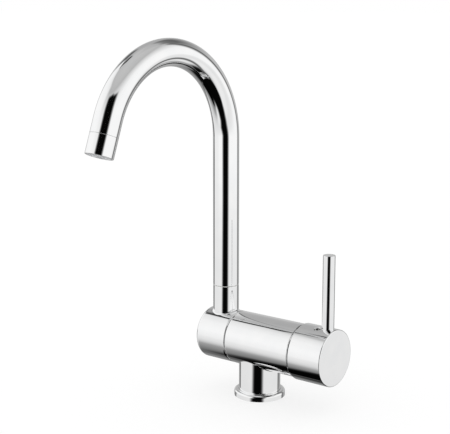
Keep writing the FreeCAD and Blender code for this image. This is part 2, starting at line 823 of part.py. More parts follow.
# ---- all pieces ----
save(make_base_flange(), "base_flange")
save(gasket_ring(0), "base_gasket")
save(make_base_plug(), "base_plug")
for name, (x, y), way in inlets:
    save(make_inlet_tube(x, y), name + "_inlet_tube")
save(make_body_shell(), "body_shell")

save(make_fold_axle(), "fold_axle")
save(make_fold_axle_seals(), "fold_axle_seals")
save(make_fold_thrust_washer(), "fold_thrust_washer")
save(make_fold_friction_washer(), "fold_friction_washer")
save(make_fold_retaining_nut(), "fold_retaining_nut")
save(stop_pin(), "fold_stop_pin")
save(make_fold_block(), "fold_block")
save(make_block_end_cap(), "block_end_cap")

save(make_spout_tube(), "spout_tube")
save(make_spout_spigot(), "spout_spigot")
save(make_spout_snap_ring(), "spout_snap_ring")
save(make_spout_seals(), "spout_seals")
save(make_spout_slip_ring(), "spout_slip_ring")
save(make_aerator_housing(), "aerator_housing")
save(make_aerator_seal(), "aerator_seal")
save(make_aerator_insert(), "aerator_insert")

save(make_cartridge_seat(), "cartridge_seat")
save(make_cartridge_seat_seals(), "cartridge_seat_seals")
save(make_cartridge_port_seals(), "cartridge_port_seals")
save(make_cartridge_housing(), "cartridge_housing")
save(make_fixed_ceramic_disc(), "fixed_ceramic_disc")
save(make_moving_ceramic_disc(), "moving_ceramic_disc")
save(make_disc_driver(), "disc_driver")
save(make_cartridge_carrier(), "cartridge_carrier")
save(pivot_pin(), "stem_pivot_pin")
save(make_cartridge_stem(), "cartridge_stem")
save(make_cartridge_nut(), "cartridge_nut")
save(make_cartridge_dome(), "cartridge_dome")

save(make_handle_hub(), "handle_hub")
save(make_lever_pin(), "lever_pin")
save(make_handle_grub_screw(), "handle_grub_screw")
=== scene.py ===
# %% [markdown]
# # A fold-down kitchen tap for hot, cold and filtered water
# The tap is built as separate chrome pieces on joints: a column with a horizontal body, a
# block that folds forward with the spout, and a handle on a ceramic cartridge. The packed
# model already holds every solid in metres. This lesson gives the visible chrome pieces
# clean, dense meshes, gives all pieces their finish, and sets up the studio.

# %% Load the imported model
import bpy
import bmesh
import json
import math
from mathutils import Matrix, Vector


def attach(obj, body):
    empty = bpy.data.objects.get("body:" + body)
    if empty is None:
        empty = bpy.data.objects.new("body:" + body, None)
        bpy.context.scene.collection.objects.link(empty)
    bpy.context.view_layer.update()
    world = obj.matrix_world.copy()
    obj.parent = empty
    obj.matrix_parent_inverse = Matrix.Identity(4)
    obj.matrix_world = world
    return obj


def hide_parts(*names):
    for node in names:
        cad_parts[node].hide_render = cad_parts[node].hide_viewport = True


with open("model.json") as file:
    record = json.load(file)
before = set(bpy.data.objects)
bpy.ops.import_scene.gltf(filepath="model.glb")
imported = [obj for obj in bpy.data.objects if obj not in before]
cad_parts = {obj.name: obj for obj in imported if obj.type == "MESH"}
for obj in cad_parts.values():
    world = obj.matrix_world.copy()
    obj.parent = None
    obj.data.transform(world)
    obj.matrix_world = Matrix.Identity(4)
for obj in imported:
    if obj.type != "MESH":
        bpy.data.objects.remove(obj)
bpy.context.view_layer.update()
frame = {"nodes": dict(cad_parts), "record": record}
scene = bpy.context.scene

# %% [markdown]
# ## The camera
# The photograph was taken from the front right, a little above the handle, with a long
# lens. The place and the focal length come from a fit of the tap's outlines, so every
# piece lands where the photograph shows it.

# %% Camera
camera_data = bpy.data.cameras.new("product_camera")
camera_data.sensor_width = 36.0
camera_data.lens = 88.44
camera = bpy.data.objects.new("product_camera", camera_data)
camera.location = (0.53572, -0.71979, 0.32533)
camera_dip, camera_turn = 10.87, 38.54
camera.rotation_euler = (math.radians(90.0 - camera_dip), 0.0, math.radians(camera_turn))
scene.collection.objects.link(camera)
scene.camera = camera
print("camera looks down by %.1f degrees" % camera_dip)

# %% [markdown]
# ## Colour handling
# The Standard view transform shows a colour as it is written, so the greys chosen for the
# studio further down come out as planned.

# %% View transform
scene.view_settings.view_transform = "Standard"
print("view transform:", scene.view_settings.view_transform)

# %% [markdown]
# ## Small tools for node trees
# Every finish and the studio are node trees. These helpers add a node, wire it and set its
# values in one line. A soft window is 1 between two limits and fades to 0 beside them.

# %% Arithmetic helpers


def link_or_set(tree, socket, value):
    """Wire an output to a socket, or set the socket's own value."""
    if isinstance(value, bpy.types.NodeSocket):
        tree.links.new(value, socket)
    else:
        socket.default_value = value


def calculate(tree, operation, first, second=None):
    """One step of arithmetic on one or two values."""
    node = tree.nodes.new("ShaderNodeMath")
    node.operation = operation
    link_or_set(tree, node.inputs[0], first)
    if second is not None:
        link_or_set(tree, node.inputs[1], second)
    return node.outputs[0]


def soft_step(tree, value, middle, softness):
    """0 below the middle and 1 above it, with a soft change between."""
    node = tree.nodes.new("ShaderNodeMapRange")
    node.interpolation_type = "SMOOTHSTEP"
    shifted = calculate(tree, "SUBTRACT", value, middle)
    tree.links.new(shifted, node.inputs["Value"])
    node.inputs["From Min"].default_value = -softness
    node.inputs["From Max"].default_value = softness
    return node.outputs[0]


def soft_window(tree, value, low, high, softness):
    """1 between two limits, 0 outside them."""
    rising = soft_step(tree, value, low, softness)
    falling = soft_step(tree, value, high, softness)
    return calculate(tree, "SUBTRACT", rising, falling)


print("arithmetic helpers ready")

# %% [markdown]
# A colour ramp can only give colours from 0 to 1 over inputs from 0 to 1. With a Map Range
# node before it and one after it, the same ramp draws any curve, such as a brightness over
# an elevation.

# %% Curve and blend helpers


def curve_of(tree, value, points):
    """A bent line through a few (input, output) points, drawn with a colour ramp."""
    low, high = points[0][0], points[-1][0]
    outputs = [output for place, output in points]
    least, most = min(outputs), max(outputs)
    scaled = tree.nodes.new("ShaderNodeMapRange")
    link_or_set(tree, scaled.inputs["Value"], value)
    scaled.inputs["From Min"].default_value = low
    scaled.inputs["From Max"].default_value = high
    ramp = tree.nodes.new("ShaderNodeValToRGB")
    stops = ramp.color_ramp
    while len(stops.elements) > 1:
        stops.elements.remove(stops.elements[-1])
    for index, (place, output) in enumerate(points):
        spot = (place - low) / (high - low)
        stop = stops.elements[0] if index == 0 else stops.elements.new(spot)
        stop.position = spot
        share = (output - least) / (most - least)
        stop.color = (share, share, share, 1.0)
    tree.links.new(scaled.outputs[0], ramp.inputs["Fac"])
    widened = tree.nodes.new("ShaderNodeMapRange")
    tree.links.new(ramp.outputs[0], widened.inputs["Value"])
    widened.inputs["To Min"].default_value = least
    widened.inputs["To Max"].default_value = most
    return widened.outputs[0]


def blend_to(tree, mask, before, after):
    """Change from one brightness to another where the mask is 1."""
    node = tree.nodes.new("ShaderNodeMix")
    node.data_type = "FLOAT"
    tree.links.new(mask, node.inputs["Factor"])
    link_or_set(tree, node.inputs["A"], before)
    link_or_set(tree, node.inputs["B"], after)
    return node.outputs["Result"]


print("curve and blend helpers ready")

# %% [markdown]
# ## The light tent
# Polished chrome has no colour of its own: it shows the room. Product photographers put
# such a tap in a white tent, with a black flag in front that draws the dark stripes.
# Here the world is that tent. Camera rays and diffuse rays see plain white of strength 1,
# which lights everything evenly. Only mirror reflections see the tent's walls, its darker
# seams left and right at the back, the grey roof and the black flag. Directions are given
# as an azimuth from the camera, positive to the right, and an elevation, both in degrees.
# Brightness is a display grey from 0 to 255. The values were tuned against the photograph.

# %% Directions in the tent
world = bpy.data.worlds.new("light_tent")
world.use_nodes = True
scene.world = world
tent = world.node_tree
tent.nodes.clear()
direction = tent.nodes.new("ShaderNodeTexCoord")
facing = tent.nodes.new("ShaderNodeMapping")
facing.vector_type = "POINT"
facing.inputs["Rotation"].default_value = (0.0, 0.0, math.radians(90.0 - camera_turn))
tent.links.new(direction.outputs["Generated"], facing.inputs["Vector"])
parts = tent.nodes.new("ShaderNodeSeparateXYZ")
tent.links.new(facing.outputs[0], parts.inputs[0])
turn = calculate(tent, "ARCTAN2", parts.outputs["Y"], parts.outputs["X"])
azimuth = calculate(tent, "DEGREES", turn)
elevation = calculate(tent, "DEGREES", calculate(tent, "ARCSINE", parts.outputs["Z"]))
print("tent directions ready")

# %% [markdown]
# The front walls are bright and fall off softly to a grey roof. Below the horizon they
# reach down to the dark table edge, which dips towards the back on the left. The back of
# the tent is greyer.

# %% Tent walls
front_wall = curve_of(tent, elevation, (
    (-90, 12), (-66, 13), (-60, 40), (-54, 180), (-49, 226), (-40, 240), (-29, 238),
    (-21, 229), (-13, 236), (-8, 251), (8, 252), (25, 247), (38, 224), (46, 206),
    (53, 182), (61, 188), (90, 196)))
table_dip = curve_of(tent, azimuth, (
    (-140, -6.5), (-125, -6.0), (-115, -5.5), (-105, -4.0), (-95, -2.0), (-88, 0.5),
    (-70, 0.5)))
low_share = calculate(tent, "SUBTRACT", 1.0, soft_step(tent, elevation, -30.0, 8.0))
left_height = calculate(tent, "SUBTRACT", elevation,
                        calculate(tent, "MULTIPLY", table_dip, low_share))
left_wall = curve_of(tent, left_height, (
    (-90, 12), (-50, 12), (-48.5, 25), (-47.5, 60), (-46.5, 100), (-45.5, 122), (-43, 136),
    (-40, 148), (-36, 163), (-32, 190), (-27, 212), (-20, 228), (-13, 234), (-7, 242),
    (0, 246), (12, 252), (20, 252), (42, 246), (51, 236), (55, 222), (57, 187), (90, 196)))
on_left = soft_window(tent, azimuth, -181.0, -68.0, 14.0)
walls = blend_to(tent, on_left, front_wall, left_wall)
back_left = curve_of(tent, elevation, (
    (-90, 12), (-62, 20), (-58, 35), (-55, 60), (-52, 92), (-49, 118), (-45, 132),
    (-30, 150), (-15, 165), (-9, 178), (2, 200), (12, 192), (20, 178), (30, 172),
    (46, 170), (52, 176), (58, 178), (66, 190), (90, 196)))
back_right = curve_of(tent, elevation, (
    (-90, 12), (-66, 50), (-60, 128), (-50, 150), (-30, 172), (-20, 160), (-9, 163),
    (0, 190), (15, 190), (22, 170), (32, 135), (40, 98), (46, 105), (52, 122),
    (58, 178), (90, 195)))
on_right = soft_window(tent, azimuth, 60.0, 172.0, 7.0)
back_wall = blend_to(tent, on_right, back_left, back_right)
left_end = curve_of(tent, elevation, (
    (-60, -139), (-14, -139), (-8, -134), (8, -148), (45, -148), (55, -126), (90, -126)))
right_end = 129.0
in_front = calculate(tent, "SUBTRACT",
                     soft_step(tent, azimuth, left_end, 4.0),
                     soft_step(tent, azimuth, right_end, 8.0))
walls = blend_to(tent, in_front, back_wall, walls)
print("walls ready")

# %% [markdown]
# Two soft dark seams run up the tent, one on each side at the back. They give the upright
# pieces their darker edge lines. The upper end of the left one leans along the roof, and
# draws the thin dark line along the top of the body.

# %% Tent seams
right_seam = curve_of(tent, elevation, (
    (-60, 90), (-50, 97), (-40, 105), (-30, 113), (-24, 119), (-18, 126), (-12, 124),
    (0, 123), (45, 124)))
off_right_seam = calculate(tent, "ABSOLUTE", calculate(tent, "SUBTRACT", azimuth, right_seam))
right_half_width, right_tone = 6.0, 96.0
right_dark = calculate(tent, "MULTIPLY",
                       soft_window(tent, off_right_seam, -20.0, right_half_width, 6.0),
                       soft_window(tent, elevation, -64.0, 47.0, 4.0))
walls = blend_to(tent, right_dark, walls, right_tone)
left_seam = curve_of(tent, elevation, (
    (-60, -139), (-20, -140), (-14, -134), (-5, -128), (20, -153), (44, -152),
    (49, -147), (52, -135), (54, -128), (55.8, -129), (57, -137), (66, -139)))
seam_width = curve_of(tent, elevation, (
    (-60, 2.5), (-25, 3.0), (-19, 6.0), (-13, 9.0), (-5, 10.0), (20, 5.0), (27, 8.0),
    (44, 8.0), (48, 5.0), (55.2, 5.5), (56.2, 10.0), (66, 10.0)))
seam_tone = curve_of(tent, elevation, (
    (-60, 98), (44, 98), (47, 150), (50, 150), (53, 40), (62, 40)))
off_left_seam = calculate(tent, "ABSOLUTE", calculate(tent, "SUBTRACT", azimuth, left_seam))
beside = calculate(tent, "SUBTRACT", off_left_seam, seam_width)
low_part = soft_window(tent, elevation, -62.0, -6.0, 2.0)
high_part = soft_window(tent, elevation, 25.0, 66.0, 4.0)
left_dark = calculate(tent, "MULTIPLY",
                      soft_window(tent, beside, -40.0, 0.0, 3.5),
                      calculate(tent, "ADD", low_part, high_part))
walls = blend_to(tent, left_dark, walls, seam_tone)
print("seams ready")

# %% [markdown]
# The black flag stands around the camera. Its edges are soft because it is close and out
# of focus in the mirror, and its top edge hangs a little to the right. Low down it widens
# into the black ground in front of the tent.

# %% Black flag
flag_left = curve_of(tent, elevation, (
    (-60, -64), (-55, -56), (-50, -50), (-45, -45), (-30, -37), (-20, -40), (-15, -33),
    (-10, -28), (35, -33), (60, -33)))
flag_right = curve_of(tent, elevation, (
    (-60, 62), (-55, 48), (-50, 35), (-45, 27), (-40, 18), (-30, 12), (-20, 12),
    (-10, 18), (20, 28), (60, 30)))
flag_top = curve_of(tent, azimuth, ((-40, 48), (-5, 48), (12, 43), (40, 36)))
flag_blur, flag_tone = 11.0, 14.0
flag_sides = calculate(tent, "SUBTRACT",
                       soft_step(tent, azimuth, flag_left, flag_blur),
                       soft_step(tent, azimuth, flag_right, flag_blur))
flag_reach = calculate(tent, "SUBTRACT", 1.0, soft_step(tent, elevation, flag_top, 2.5))
flag = calculate(tent, "MULTIPLY", flag_sides, flag_reach)
walls = blend_to(tent, flag, walls, flag_tone)
print("flag ready")

# %% [markdown]
# The curves are in display greys, so the last step turns them into linear light with the
# usual power curve, and shows them to mirror reflections only.

# %% Tent output
full_grey, display_power = 255.0, 2.2
share = calculate(tent, "DIVIDE", walls, full_grey)
light = calculate(tent, "POWER", share, display_power)
rays = tent.nodes.new("ShaderNodeLightPath")
seen = blend_to(tent, rays.outputs["Is Glossy Ray"], 1.0, light)
background = tent.nodes.new("ShaderNodeBackground")
tent.links.new(seen, background.inputs["Color"])
output = tent.nodes.new("ShaderNodeOutputWorld")
tent.links.new(background.outputs[0], output.inputs["Surface"])
print("tent nodes:", len(tent.nodes))

# %% [markdown]
# ## Floor
# The floor is a wide white sheet. It keeps the soft shadow under the foot, and a glow for
# camera rays lets it run into the white background without a horizon. Mirror rays pass
# through it and see the tent's table edge in its place.

# %% Floor
floor_half, glow_strength, glow_part = 40.0, 1.03, 0.7
floor_white = bpy.data.materials.new("floor_white")
floor_white.use_nodes = True
sheet_tree = floor_white.node_tree
sheet_shader = sheet_tree.nodes["Principled BSDF"]
sheet_shader.inputs["Base Color"].default_value = (0.97, 0.97, 0.97, 1.0)
sheet_shader.inputs["Roughness"].default_value = 0.9
sheet_shader.inputs["Specular IOR Level"].default_value = 0.0
glow = sheet_tree.nodes.new("ShaderNodeEmission")
glow.inputs["Strength"].default_value = glow_strength
floor_rays = sheet_tree.nodes.new("ShaderNodeLightPath")
glow_share = calculate(sheet_tree, "MULTIPLY", floor_rays.outputs["Is Camera Ray"], glow_part)
glowing = sheet_tree.nodes.new("ShaderNodeMixShader")
sheet_tree.links.new(glow_share, glowing.inputs["Fac"])
sheet_tree.links.new(sheet_shader.outputs[0], glowing.inputs[1])
sheet_tree.links.new(glow.outputs[0], glowing.inputs[2])
sheet_output = sheet_tree.nodes["Material Output"]
sheet_tree.links.new(glowing.outputs[0], sheet_output.inputs["Surface"])
sheet = bmesh.new()
bmesh.ops.create_grid(sheet, x_segments=1, y_segments=1, size=floor_half)
floor_mesh = bpy.data.meshes.new("floor")
sheet.to_mesh(floor_mesh)
sheet.free()
floor_mesh.materials.append(floor_white)
floor = bpy.data.objects.new("floor", floor_mesh)
floor.visible_glossy = False
scene.collection.objects.link(floor)
print("floor", tuple(round(v, 1) for v in floor.dimensions))

# %% [markdown]
# ## Finishes
# Each material slot of the record gets one node material. All of them read Object
# coordinates, so the pattern stays on the piece in any pose. One noise drives a slight
# change of colour, of roughness and of the surface itself. The scale and the amounts tell
# a polished plate from a turned, drawn or moulded surface.

# %% Finish builder
noise_low, noise_high = 0.3, 0.7     # where most of the noise's values lie


def make_finish(slot, metallic, dark, pale, gloss, grain, stretch, relief, detail=3.0):
    """A material from two tones, a roughness range, a grain per metre and a relief."""
    finish = bpy.data.materials.new(slot)
    finish.use_nodes = True
    tree = finish.node_tree
    shader = tree.nodes["Principled BSDF"]
    shader.inputs["Metallic"].default_value = metallic
    place = tree.nodes.new("ShaderNodeTexCoord")
    scaled = tree.nodes.new("ShaderNodeMapping")
    scaled.inputs["Scale"].default_value = stretch
    tree.links.new(place.outputs["Object"], scaled.inputs["Vector"])
    noise = tree.nodes.new("ShaderNodeTexNoise")
    noise.inputs["Scale"].default_value = grain
    noise.inputs["Detail"].default_value = detail
    tree.links.new(scaled.outputs[0], noise.inputs["Vector"])
    tones = tree.nodes.new("ShaderNodeValToRGB")
    tones.color_ramp.elements[0].position = noise_low
    tones.color_ramp.elements[1].position = noise_high
    tones.color_ramp.elements[0].color = (*dark, 1.0)
    tones.color_ramp.elements[1].color = (*pale, 1.0)
    tree.links.new(noise.outputs[0], tones.inputs["Fac"])
    tree.links.new(tones.outputs[0], shader.inputs["Base Color"])
    rough = tree.nodes.new("ShaderNodeMapRange")
    rough.inputs["From Min"].default_value = noise_low
    rough.inputs["From Max"].default_value = noise_high
    rough.inputs["To Min"].default_value = gloss[0]
    rough.inputs["To Max"].default_value = gloss[1]
    tree.links.new(noise.outputs[0], rough.inputs["Value"])
    tree.links.new(rough.outputs[0], shader.inputs["Roughness"])
    bump = tree.nodes.new("ShaderNodeBump")
    bump.inputs["Strength"].default_value = 1.0
    bump.inputs["Distance"].default_value = relief
    tree.links.new(noise.outputs[0], bump.inputs["Height"])
    tree.links.new(bump.outputs[0], shader.inputs["Normal"])
    return finish


finishes = {}
print("finish builder ready")

# %% [markdown]
# Polished chrome plate is a near perfect mirror. The plate's faint unevenness is a few
# hundredths of a micrometre deep over patches about a centimetre wide, and its roughness
# hardly changes. More would break the long clean reflections.

# %% Chrome
finishes["polished_chrome"] = make_finish(
    "polished_chrome", 1.0, (0.935, 0.94, 0.945), (0.965, 0.965, 0.965),
    (0.022, 0.040), 90.0, (1.0, 1.0, 1.0), 4e-8, detail=1.0)
print("chrome ready")

# %% [markdown]
# Turned brass and drawn copper have fine marks that run around or along the piece, so the
# noise is stretched across them. Stainless washers and pins look the same but greyer.

# %% Bare metals
finishes["bare_brass"] = make_finish(
    "bare_brass", 1.0, (0.64, 0.48, 0.22), (0.76, 0.60, 0.30),
    (0.22, 0.38), 260.0, (9.0, 1.0, 1.0), 4e-6)
finishes["copper_tube"] = make_finish(
    "copper_tube", 1.0, (0.55, 0.29, 0.19), (0.78, 0.47, 0.33),
    (0.24, 0.46), 240.0, (4.0, 4.0, 0.4), 5e-6)
finishes["stainless_steel"] = make_finish(
    "stainless_steel", 1.0, (0.55, 0.55, 0.545), (0.68, 0.68, 0.67),
    (0.20, 0.36), 420.0, (5.0, 1.0, 1.0), 3e-6)
print("metals ready")

# %% [markdown]
# Rubber rings are nearly black with a dull bloom. The cartridge is glass filled plastic
# with a fine mottle, the slip rings are a cleaner white, and the ceramic discs are lapped
# until they shine.

# %% Rubber, plastics and ceramic
finishes["black_rubber"] = make_finish(
    "black_rubber", 0.0, (0.018, 0.018, 0.019), (0.045, 0.045, 0.048),
    (0.45, 0.62), 900.0, (1.0, 1.0, 1.0), 1.2e-5)
finishes["white_bearing_plastic"] = make_finish(
    "white_bearing_plastic", 0.0, (0.82, 0.82, 0.79), (0.89, 0.89, 0.86),
    (0.38, 0.50), 700.0, (1.0, 1.0, 6.0), 6e-6)
finishes["aerator_plastic"] = make_finish(
    "aerator_plastic", 0.0, (0.57, 0.58, 0.59), (0.67, 0.68, 0.69),
    (0.34, 0.46), 1100.0, (1.0, 1.0, 1.0), 8e-6)
finishes["cartridge_plastic"] = make_finish(
    "cartridge_plastic", 0.0, (0.75, 0.75, 0.72), (0.85, 0.85, 0.82),
    (0.42, 0.58), 1300.0, (1.0, 1.0, 1.0), 1e-5, detail=5.0)
finishes["ceramic"] = make_finish(
    "ceramic", 0.0, (0.86, 0.85, 0.81), (0.90, 0.89, 0.85),
    (0.06, 0.12), 1500.0, (1.0, 1.0, 1.0), 1e-6)
print("finishes:", len(finishes))

# %% [markdown]
# The solids of the frame keep their meshes, and each one takes the finish of its slot.
# The visible chrome ones are replaced further down.

# %% Finish on every node
for row in frame["record"]["subparts"]:
    solid = frame["nodes"][row["node"]]
    solid.data.materials.clear()
    solid.data.materials.append(finishes[row["material_slot"]])

# %% [markdown]
# ## Sizes of the chrome pieces
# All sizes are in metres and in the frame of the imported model: the column stands on the
# origin, the body lies along X and the spout points to -Y. The ends of the body and of the
# block are places along X.

# %% Sizes
MM = 0.001
body_height = 46.5 * MM
body_radius = 22.25 * MM
body_left, body_shoulder, body_right = -20.8 * MM, 42.7 * MM, 45.3 * MM
body_neck_radius = 20.85 * MM
column_radius = 17.5 * MM
block_left, block_right = -52.7 * MM, -21.2 * MM
spout_x = -36.5 * MM
neck_radius = 11.0 * MM
neck_top = 90.3 * MM
small_round = 0.4 * MM
axle_bore = 8.05 * MM
past = 2.0 * MM     # how far a drill reaches out of the piece it cuts
print("body to %.1f mm" % (body_right / MM))

# %% [markdown]
# ## Helpers for the pieces
# A finished piece gets outward faces, smooth shading and a weighted normal modifier: the
# wide faces then keep their own direction, and only the narrow rounded edges turn. The
# piece rides on its body and replaces the node of the same name.

# %% Piece helpers
sharp_turn = math.radians(40.0)


def finish_piece(form, node, body, true_normal=None):
    """Turn a bmesh into the piece that stands for a node."""
    bmesh.ops.remove_doubles(form, verts=form.verts, dist=1e-7)
    bmesh.ops.recalc_face_normals(form, faces=form.faces)
    for face in form.faces:
        face.smooth = True
    for edge in form.edges:
        if edge.is_manifold and edge.calc_face_angle() > sharp_turn:
            edge.smooth = False
    mesh = bpy.data.meshes.new(node + "_chrome")
    form.to_mesh(mesh)
    form.free()
    piece = bpy.data.objects.new(node + "_chrome", mesh)
    scene.collection.objects.link(piece)
    mesh.materials.append(finishes["polished_chrome"])
    if true_normal:
        mesh.normals_split_custom_set([
            true_normal(mesh.vertices[index].co, face.normal)
            for face in mesh.polygons for index in face.vertices])
    else:
        weighted = piece.modifiers.new("weighted_normals", "WEIGHTED_NORMAL")
        weighted.mode = "FACE_AREA"
        weighted.weight = 90
        weighted.keep_sharp = True
    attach(piece, body)
    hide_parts(node)
    return piece


def report(piece):
    """Print what a piece measures, for the reader."""
    size = [round(v / MM, 2) for v in piece.dimensions]
    print(piece.name, "mm:", size, "faces:", len(piece.data.polygons))


print("piece helpers ready")

# %% [markdown]
# Most pieces start as a ring that is spun or extruded, or as an outline on a lathe. Their
# edges are then rounded with a bevel, and a small test picks the edges by their place. A
# dict keeps its keys in order and holds each only once, so every run lists the edges in
# the same order.

# %% Shape helpers


def round_edges(form, wanted, width, steps):
    """Round the edges that a test picks."""
    edges = [edge for edge in form.edges if wanted(edge)]
    bmesh.ops.bevel(form, geom=edges, offset=width, offset_type="OFFSET", segments=steps,
                    profile=0.5, affect="EDGES", material=-1, clamp_overlap=False)


def lathe(points, steps):
    """Spin a closed flat outline of (radius, height) points about Z."""
    form = bmesh.new()
    verts = [form.verts.new((radius, 0.0, height)) for radius, height in points]
    edges = [form.edges.new(pair) for pair in zip(verts, verts[1:] + verts[:1])]
    bmesh.ops.spin(form, geom=verts + edges, cent=(0, 0, 0), axis=(0, 0, 1),
                   dvec=(0, 0, 0), angle=2.0 * math.pi, steps=steps, use_merge=True,
                   use_duplicate=False)
    bmesh.ops.remove_doubles(form, verts=form.verts, dist=1e-7)
    return form


def ring_test(height, radius):
    """A test for the edges of one level ring around Z."""
    def wanted(edge):
        return all(abs(vert.co.z - height) < 1e-5
                   and abs(math.hypot(vert.co.x, vert.co.y) - radius) < 1e-5
                   for vert in edge.verts)
    return wanted


def lying_ring_test(place, radius):
    """A test for the edges of one ring around the X axis."""
    def wanted(edge):
        return all(abs(vert.co.x - place) < 1e-6
                   and abs(math.hypot(vert.co.y, vert.co.z) - radius) < 1e-6
                   for vert in edge.verts)
    return wanted


def points_and_edges(geometry):
    """The points and the edges of what a mesh step gives back."""
    return ([item for item in geometry if isinstance(item, bmesh.types.BMVert)],
            [item for item in geometry if isinstance(item, bmesh.types.BMEdge)])


def edges_of(items):
    """The edges of some faces, or at some points, each one once and in a fixed order."""
    return list(dict.fromkeys(
        edge for item in items
        for edge in (item.link_edges if isinstance(item, bmesh.types.BMVert) else item.edges)))


def extrude_ring(form, edges):
    """Extrude a ring of edges. Gives the new points and the new ring."""
    return points_and_edges(bmesh.ops.extrude_edge_only(form, edges=edges)["geom"])


print("shape helpers ready")

# %% [markdown]
# ## Base flange
# A turned ring sits around the column's foot, with a wide soft round on its top edge and a
# groove under it for the gasket. A lathe outline gives all of it, and a bevel of the top
# ring gives the round.

# %% Base flange
flange_bore, flange_radius, flange_top = 17.55 * MM, 21.5 * MM, 5.2 * MM
groove_inner, groove_outer, groove_depth = 18.35 * MM, 20.65 * MM, 1.55 * MM
flange = lathe([(flange_bore, 0.0), (groove_inner, 0.0), (groove_inner, groove_depth),
                (groove_outer, groove_depth), (groove_outer, 0.0), (flange_radius, 0.0),
                (flange_radius, flange_top), (flange_bore, flange_top)], 192)
outer_round, inner_round = 2.0 * MM, 0.5 * MM
round_edges(flange, ring_test(flange_top, flange_radius), outer_round, 10)
round_edges(flange, ring_test(flange_top, flange_bore), inner_round, 2)
report(finish_piece(flange, "base_flange", "mixer_body"))

# %% [markdown]
# ## Spout tube
# The spout is one bent tube. A ring of 128 points rises from the foot, a spin about the
# arch's centre bends it by 159.5 degrees, and a short straight run leads to the outlet.
# The bore is made the same way, and the two skins are bridged at both ends. The tube moves
# onto the Z axis for a moment, because the ring test measures from there.

# %% Spout tube
arch_base = 217.3 * MM
arch_radius = 72.0 * MM
arch_turn = math.radians(159.5)
outlet_run = 12.3 * MM
outlet_way = Vector((0.0, -math.sin(arch_turn), math.cos(arch_turn)))
tube_foot = 90.7 * MM
tube_bore = 9.75 * MM


def bent_skin(form, radius):
    """One skin of the tube, from the foot to the outlet. Gives its first and last ring."""
    made = bmesh.ops.create_circle(form, cap_ends=False, segments=128, radius=radius)
    verts = made["verts"]
    bmesh.ops.translate(form, verts=verts, vec=(spout_x, 0.0, tube_foot))
    edges = edges_of(verts)
    first = edges
    verts, edges = extrude_ring(form, edges)
    bmesh.ops.translate(form, verts=verts, vec=(0.0, 0.0, arch_base - tube_foot))
    bent = bmesh.ops.spin(form, geom=verts + edges, cent=(spout_x, -arch_radius, arch_base),
                          axis=(1, 0, 0), dvec=(0, 0, 0), angle=arch_turn, steps=110,
                          use_merge=False, use_duplicate=False)["geom_last"]
    verts, edges = points_and_edges(bent)
    verts, edges = extrude_ring(form, edges)
    bmesh.ops.translate(form, verts=verts, vec=outlet_way * outlet_run)
    return first, edges


tube = bmesh.new()
outer_first, outer_last = bent_skin(tube, neck_radius)
inner_first, inner_last = bent_skin(tube, tube_bore)
bmesh.ops.bridge_loops(tube, edges=outer_first + inner_first)
bmesh.ops.bridge_loops(tube, edges=outer_last + inner_last)
bmesh.ops.translate(tube, verts=tube.verts, vec=(-spout_x, 0.0, 0.0))
round_edges(tube, ring_test(tube_foot, neck_radius), small_round, 2)
bmesh.ops.translate(tube, verts=tube.verts, vec=(spout_x, 0.0, 0.0))
report(finish_piece(tube, "spout_tube", "spout"))

# %% [markdown]
# ## Aerator housing
# The outlet's end sleeve has a narrow spigot that sits in the tube, a ledge for the seal
# and a recess for the insert. It is turned upright, then tilted to the outlet.

# %% Aerator housing
spigot_radius, spigot_start = 9.7 * MM, -6.0 * MM
waterway, recess, ledge = 7.8 * MM, 9.2 * MM, 3.0 * MM
sleeve_length = 16.0 * MM
sleeve = lathe([(waterway, spigot_start), (spigot_radius, spigot_start),
                (spigot_radius, 0.0), (neck_radius, 0.0), (neck_radius, sleeve_length),
                (recess, sleeve_length), (recess, ledge), (waterway, ledge)], 128)
round_edges(sleeve, ring_test(0.0, neck_radius), small_round, 2)
round_edges(sleeve, ring_test(sleeve_length, neck_radius), small_round, 2)
outlet_point = Vector((
    spout_x,
    -arch_radius * (1.0 - math.cos(arch_turn)) + outlet_way.y * outlet_run,
    arch_base + arch_radius * math.sin(arch_turn) + outlet_way.z * outlet_run))
bmesh.ops.rotate(sleeve, verts=sleeve.verts, cent=(0, 0, 0),
                 matrix=Matrix.Rotation(arch_turn, 3, "X"))
bmesh.ops.translate(sleeve, verts=sleeve.verts, vec=outlet_point)
report(finish_piece(sleeve, "aerator_housing", "spout"))

# %% [markdown]
# ## A cylinder with a branch
# The body carries the column and the fold block carries the neck. Both are one casting
# with a small fillet where the upright part meets the lying one. In a mirror, a Boolean
# would leave broken reflections there, so the skins are joined ring by ring. First the
# lying cylinder is extruded ring by ring, and a window is cut in it.

# %% Lying cylinder helpers


def lying_cylinder(form, radius, stations):
    """An open cylinder along X with a ring of points at every station."""
    made = bmesh.ops.create_circle(form, cap_ends=False, segments=192, radius=radius)
    bmesh.ops.rotate(form, verts=made["verts"], cent=(0, 0, 0),
                     matrix=Matrix.Rotation(math.radians(90.0), 3, "Y"))
    bmesh.ops.translate(form, verts=made["verts"], vec=(stations[0], 0.0, 0.0))
    edges = list(form.edges)
    for start, end in zip(stations, stations[1:]):
        verts, edges = extrude_ring(form, edges)
        bmesh.ops.translate(form, verts=verts, vec=(end - start, 0.0, 0.0))


def cut_window(form, side, window, half_turn):
    """Take out the faces under the branch. Gives the window's edges."""
    def inside(face):
        middle = face.calc_center_median()
        lean = math.degrees(math.atan2(middle.y, side * middle.z))
        return window[0] < middle.x < window[1] and abs(lean) < half_turn

    doomed = [face for face in form.faces if inside(face)]
    rim = edges_of(doomed)
    bmesh.ops.delete(form, geom=doomed, context="FACES")
    return [edge for edge in rim if edge.is_valid and edge.is_boundary]


def open_ring(form, axis, place):
    """The open edges that lie at one place along an axis (0 is X, 2 is Z)."""
    return [edge for edge in form.edges if edge.is_boundary
            and all(abs(vert.co[axis] - place) < 1e-6 for vert in edge.verts)]


print("lying cylinder helpers ready")

